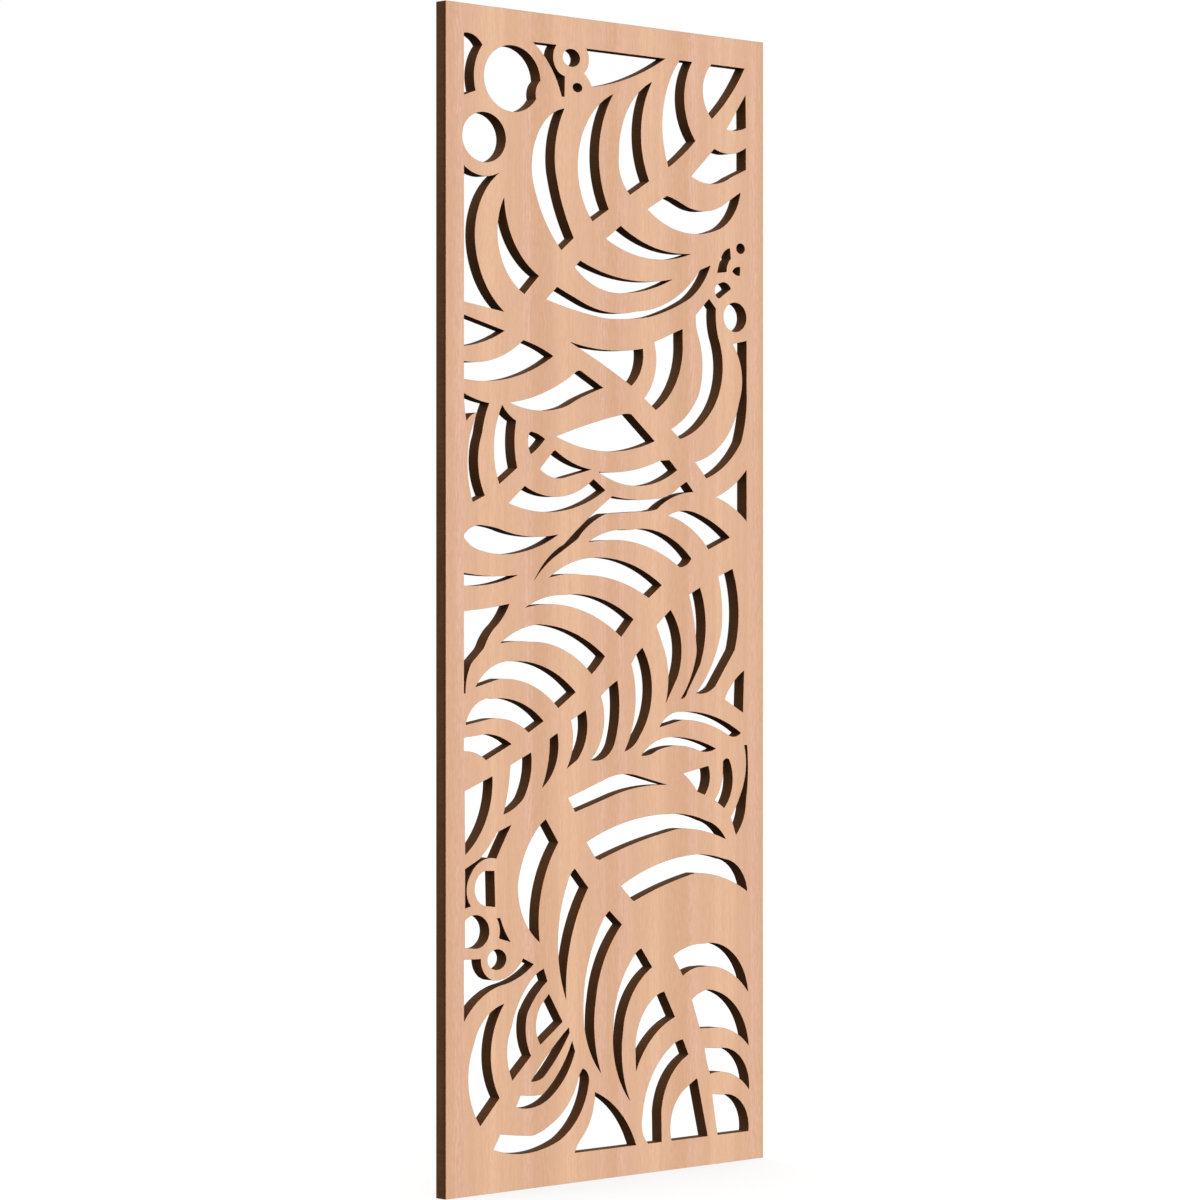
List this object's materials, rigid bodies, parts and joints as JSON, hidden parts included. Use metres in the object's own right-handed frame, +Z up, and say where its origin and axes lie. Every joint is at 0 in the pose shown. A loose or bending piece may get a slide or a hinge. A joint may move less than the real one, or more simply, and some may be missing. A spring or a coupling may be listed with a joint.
{
  "type": "fretwork grille panel",
  "caption": "Tall flat wooden grille panel, sawn right through with curling leaves and bubbles inside a plain border.",
  "frame": {"origin": "middle of the flat back face, where the panel lies against what it is fixed to", "axes": "+Z up along the panel's height, +X along its width, the decorated face towards -Y and the flat back towards +Y"},
  "size_m": [0.42, 0.0127, 1.08],
  "materials": {
    "light_wood": "bare sanded light wood, cut edges toasted dark brown"
  },
  "bodies": {
    "root": {"fretwork_panel": "light_wood"}
  },
  "joints": []
}
